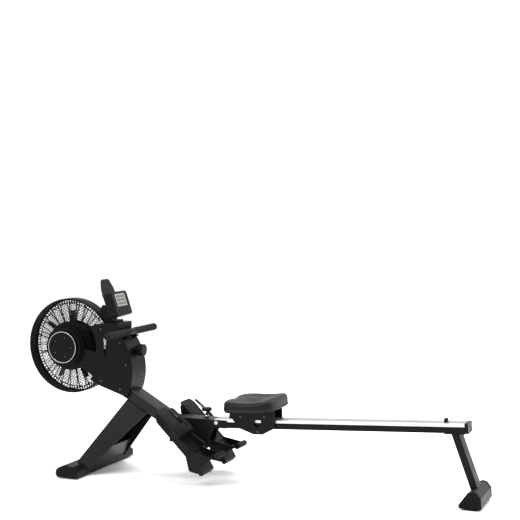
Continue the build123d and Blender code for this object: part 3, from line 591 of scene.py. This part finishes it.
def seat_cushion():
    """A closed crowned cushion: the top, its rounded edge, the side and the underside."""
    top_rings = 16
    edge_rings = 8
    edge = 0.020
    side_share = 0.62

    def shoulder(angle):
        return seat_outline(angle) - edge

    def top_at(angle, share):
        reach = shoulder(angle) * share
        return seat_height(reach * math.cos(angle), reach * math.sin(angle))

    def edge_at(angle, turn):
        top = top_at(angle, 1.0)
        return top - min(edge, top * side_share) * (1 - math.cos(turn))

    verts = [(SEAT_MID, 0, SEAT_LOW + seat_height(0, 0))]
    for k in range(1, top_rings + 1):
        share = k / top_rings
        verts += seat_ring(lambda a: shoulder(a) * share, lambda a: top_at(a, share))
    for k in range(1, edge_rings + 1):
        turn = math.pi / 2 * k / edge_rings
        verts += seat_ring(lambda a: shoulder(a) + edge * math.sin(turn), lambda a: edge_at(a, turn))
    for out, height in ((0.0, 0.006), (0.0012, 0.004), (0.0, 0.002), (-0.004, 0.0), (-0.03, 0.0)):
        verts += seat_ring(lambda a: seat_outline(a) + out, lambda a: height)
    total = (len(verts) - 1) // SEAT_STEPS
    faces = [(0, 1 + step, 1 + (step + 1) % SEAT_STEPS) for step in range(SEAT_STEPS)]
    for k in range(total - 1):
        for step in range(SEAT_STEPS):
            a = 1 + k * SEAT_STEPS + step
            b = 1 + k * SEAT_STEPS + (step + 1) % SEAT_STEPS
            faces.append((a, a + SEAT_STEPS, b + SEAT_STEPS, b))
    last = 1 + (total - 1) * SEAT_STEPS
    faces.append(tuple(last + step for step in range(SEAT_STEPS)))
    return verts, faces


verts, faces = seat_cushion()
cushion = piece("seat_cushion", verts, faces, seat_vinyl, "seat", ON_RAIL)
smoother = cushion.modifiers.new("smooth", "SUBSURF")
smoother.levels = 1
smoother.render_levels = 1
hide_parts("seat_pad")


# ---------------------------------------------------------------- straps
def ribbon(points, width_low, width_high, thick, across):
    """A flat strap along a row of points, with its width along the direction across."""
    verts = []
    faces = []
    count = len(points)
    for k, point in enumerate(points):
        before = points[max(0, k - 1)]
        after = points[min(count - 1, k + 1)]
        along = (Vector(after) - Vector(before)).normalized()
        side = Vector(across)
        up = along.cross(side).normalized()
        for w, t in ((width_low, -0.5), (width_high, -0.5), (width_high, 0.5), (width_low, 0.5)):
            verts.append(Vector(point) + side * w + up * (t * thick))
    for k in range(count - 1):
        a, b = 4 * k, 4 * (k + 1)
        for n in range(4):
            m = (n + 1) % 4
            faces.append((a + n, a + m, b + m, b + n))
    faces.append((3, 2, 1, 0))
    end = 4 * (count - 1)
    faces.append((end, end + 1, end + 2, end + 3))
    return verts, faces


def arch_points(inner, outer, rise, low, steps=28):
    """Points of a strap that rises from one edge of the foot plate and comes down at the other."""
    middle = (inner + outer) / 2
    half = (outer - inner) / 2
    points = []
    for k in range(steps + 1):
        angle = math.pi * k / steps
        y = middle - half * math.cos(angle)
        lift = math.sin(angle) ** 0.62
        points.append((0, y, low + (rise - low) * lift))
    return points


STRAP_LOW = 0.063
STRAP_HIGH = 0.111
STRAP_RISE = 0.049
STRAP_FOOT = -0.014
STRAP_THICK = 0.0022
TAIL_AT = 0.030
TAIL_LIFT = 0.047
TAIL_LEAN = -7.0


def strap_tail(end, side):
    """The loose end of a toe strap, with its row of fixing holes, standing up from the plate."""
    length = 0.095
    half = 0.012
    holes = 5
    edge_width = 0.009
    rung_length = 0.012
    tree = Tree("strap_tail_" + end, Rungs=holes + 1, Pitch=length / holes, Length=length, Half=half,
                Thick=STRAP_THICK)
    shapes = []
    for offset in (-half + edge_width / 2, half - edge_width / 2):
        edge = tree.box(tree.size("Length"), edge_width, tree.size("Thick"))
        shapes.append(tree.moved(edge, tree.vector(y=offset)))
    rung = tree.box(rung_length, tree.maths("MULTIPLY", tree.size("Half"), 1.2), tree.size("Thick"))
    line = tree.node("GeometryNodeMeshLine", Count=tree.size("Rungs"),
                     Start_Location=tree.vector(x=tree.maths("MULTIPLY", tree.size("Length"), -0.5)),
                     Offset=tree.vector(x=tree.size("Pitch"))).outputs[0]
    shapes.append(tree.copies(line, rung))
    lean = Matrix.Rotation(math.radians(TAIL_LEAN), 4, "Y")
    centre = Matrix.Translation((TAIL_AT, side * (FOOT_IN + FOOT_OUT) / 2, TAIL_LIFT))
    made = tree.build("strap_tail_" + end, shapes, strap_webbing, "footrest_" + end, ON_PLATE @ centre @ lean)


def toe_strap(end, side):
    """The band over the foot, from one edge of the plate to the other."""
    gap = 0.0025
    arch = arch_points(FOOT_IN - gap, FOOT_OUT + gap, STRAP_RISE, STRAP_FOOT)
    verts, faces = ribbon(arch, STRAP_LOW, STRAP_HIGH, STRAP_THICK, across=(1, 0, 0))
    mirrored = Matrix.Scale(side, 4, (0, 1, 0))
    strap = piece("toe_strap_" + end, verts, faces, strap_webbing, "footrest_" + end, ON_PLATE @ mirrored)
    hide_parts("foot_strap_" + end)


def plate_ridges(end, side):
    """The row of raised bars on the foot plate."""
    tree = Tree("plate_ridges_" + end, Count=20, Pitch=0.0105, Start=-0.020, Length=0.084, Width=0.0035,
                Height=0.0016)
    bar = tree.box(tree.size("Width"), tree.size("Length"), tree.size("Height"))
    line = tree.node("GeometryNodeMeshLine", Count=tree.size("Count"),
                     Start_Location=tree.vector(x=tree.size("Start")),
                     Offset=tree.vector(x=tree.size("Pitch"))).outputs[0]
    centre = Matrix.Translation((0, side * (FOOT_IN + FOOT_OUT) / 2, 0.0002))
    tread = tree.build("plate_ridges_" + end, [tree.copies(line, bar)], rubber, "footrest_" + end,
                       ON_PLATE @ centre)


def heel_roll(end, side):
    """The soft sleeve on the top edge of the heel rest."""
    outer = 0.0132
    inner = 0.009
    start, stop = 0.078, 0.170
    section = [(outer - 0.0004, start + 0.001), (outer, start + 0.004), (outer, stop - 0.004),
               (outer - 0.0004, stop - 0.001), (inner, stop), (inner, start)]
    middle = ON_PLATE @ Vector((0.277, 0, 0.068))
    roll = lathe("heel_roll_" + end, section, rubber, "footrest_" + end, centre=(middle.x, middle.z),
                 steps=32, sign=side)


for end, side in SIDES.items():
    toe_strap(end, side)
    strap_tail(end, side)
    plate_ridges(end, side)
    heel_roll(end, side)


def pull_web():
    """The woven strap from the guide roller to the handle."""
    start_x = -0.611
    end_x = -0.584
    height = 0.6475
    half_width = 0.0125
    spans = 12
    points = [(start_x + (end_x - start_x) * k / spans, 0, height) for k in range(spans + 1)]
    verts, faces = ribbon(points, -half_width, half_width, 0.0018, across=(0, 1, 0))
    pull = piece("pull_web", verts, faces, webbing, None)
    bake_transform(pull)
    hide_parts("pull_strap")


pull_web()


# ---------------------------------------------------------------- small fittings
PIN_FOOT = Vector((-0.176, 0, 0.275))


def rail_fasteners():
    """Pairs of screws under the rail, at the fold hinge and at the rear leg's flange."""
    under_rail = -0.0405
    half_pitch = 0.018
    facing_down = Matrix.Rotation(math.pi, 4, "X")
    for label, along in (("front", 0.060), ("rear_a", 1.036), ("rear_b", 1.094)):
        place = ON_RAIL @ Matrix.Translation((along, 0, under_rail)) @ facing_down
        screw_ring("rail_screws_" + label, 2, half_pitch, 0.006, bright_steel, "rail", place)


def pin_collar():
    """The bright ring round the pull pin, on top of the centre bracket."""
    inner, skirt, outer = 0.0075, 0.0082, 0.0098
    section = [(skirt, -0.0125), (outer, -0.0115), (outer, -0.0015), (skirt, -0.0005), (inner, -0.0005),
               (inner, -0.0125)]
    collar = lathe("pin_collar", section, bright_steel, None, centre=(0, 0), steps=32)
    collar.data.transform(Matrix.Translation(PIN_FOOT) @ Matrix.Rotation(math.radians(-90), 4, "X"))
    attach(collar, "frame")


def screen_marks():
    """Three rows of plain bars on the display."""
    tree = Tree("screen_marks", Columns=5, Pitch=0.0155, Wide=0.0105)
    tall = tree.box(0.010, tree.size("Wide"), 0.0004)
    line = tree.node("GeometryNodeMeshLine", Count=tree.size("Columns"),
                     Start_Location=tree.vector(y=tree.maths("MULTIPLY", tree.size("Pitch"), -2.0)),
                     Offset=tree.vector(y=tree.size("Pitch"))).outputs[0]
    shapes = []
    for drop in (-0.033, -0.016, 0.001):
        shapes.append(tree.moved(tree.copies(line, tall), tree.vector(x=drop, z=-0.0004)))
    made = tree.build("screen_marks", shapes, segment_ink, "console", ON_FACE)


def seat_seam():
    """A piped seam round the cushion, low on its side."""
    around = 120
    sides = 8
    cord = 0.0014
    stand_off = 0.0004
    height = 0.009
    verts = []
    for step in range(around):
        angle = 2 * math.pi * step / around
        outward = Vector((math.cos(angle), math.sin(angle), 0))
        centre = Vector((SEAT_MID, 0, SEAT_LOW + height)) + outward * (seat_outline(angle) + stand_off)
        for k in range(sides):
            turn = 2 * math.pi * k / sides
            verts.append(centre + outward * (cord * math.cos(turn)) + Vector((0, 0, cord * math.sin(turn))))
    faces = []
    for step in range(around):
        after = (step + 1) % around
        for k in range(sides):
            n = (k + 1) % sides
            faces.append((step * sides + k, after * sides + k, after * sides + n, step * sides + n))
    made = piece("seat_seam", verts, faces, stitch_thread, "seat", ON_RAIL)


rail_fasteners()
pin_collar()
screen_marks()
seat_seam()

# ---------------------------------------------------------------- floor, light and camera
bpy.ops.mesh.primitive_plane_add(size=30, location=(0, 0, -0.0005))
floor = bpy.context.object
floor.name = "studio_floor"
floor.data.materials.append(floor_paper)


def area_light(name, place, target, size, power):
    data = bpy.data.lights.new(name, "AREA")
    data.shape = "DISK"
    data.size = size
    data.energy = power
    lamp = bpy.data.objects.new(name, data)
    bpy.context.scene.collection.objects.link(lamp)
    lamp.location = place
    lamp.rotation_euler = (Vector(target) - Vector(place)).to_track_quat("-Z", "Y").to_euler()


area_light("key", (-1.2, -2.6, 3.4), (0, 0, 0.3), 2.4, 90)
area_light("top", (0.6, 0.6, 3.8), (0, 0, 0.3), 3.0, 120)
area_light("rim", (2.6, 2.2, 2.2), (0, 0, 0.4), 1.6, 60)
sky = bpy.data.worlds.new("studio")
sky.use_nodes = True
sky.node_tree.nodes["Background"].inputs["Color"].default_value = (1, 1, 1, 1)
sky.node_tree.nodes["Background"].inputs["Strength"].default_value = 1.08
bpy.context.scene.world = sky
bpy.context.scene.view_settings.view_transform = "Standard"

CAMERA_AT = (2.01758, -4.73643, 1.26213)
CAMERA_DIP = 3.03
CAMERA_TURN = 22.22
lens = bpy.data.cameras.new("studio_camera")
lens.lens = 80.7
lens.sensor_width = 36
camera = bpy.data.objects.new("studio_camera", lens)
camera.location = CAMERA_AT
camera.rotation_euler = (math.radians(90 - CAMERA_DIP), 0, math.radians(CAMERA_TURN))
bpy.context.scene.collection.objects.link(camera)
bpy.context.scene.camera = camera
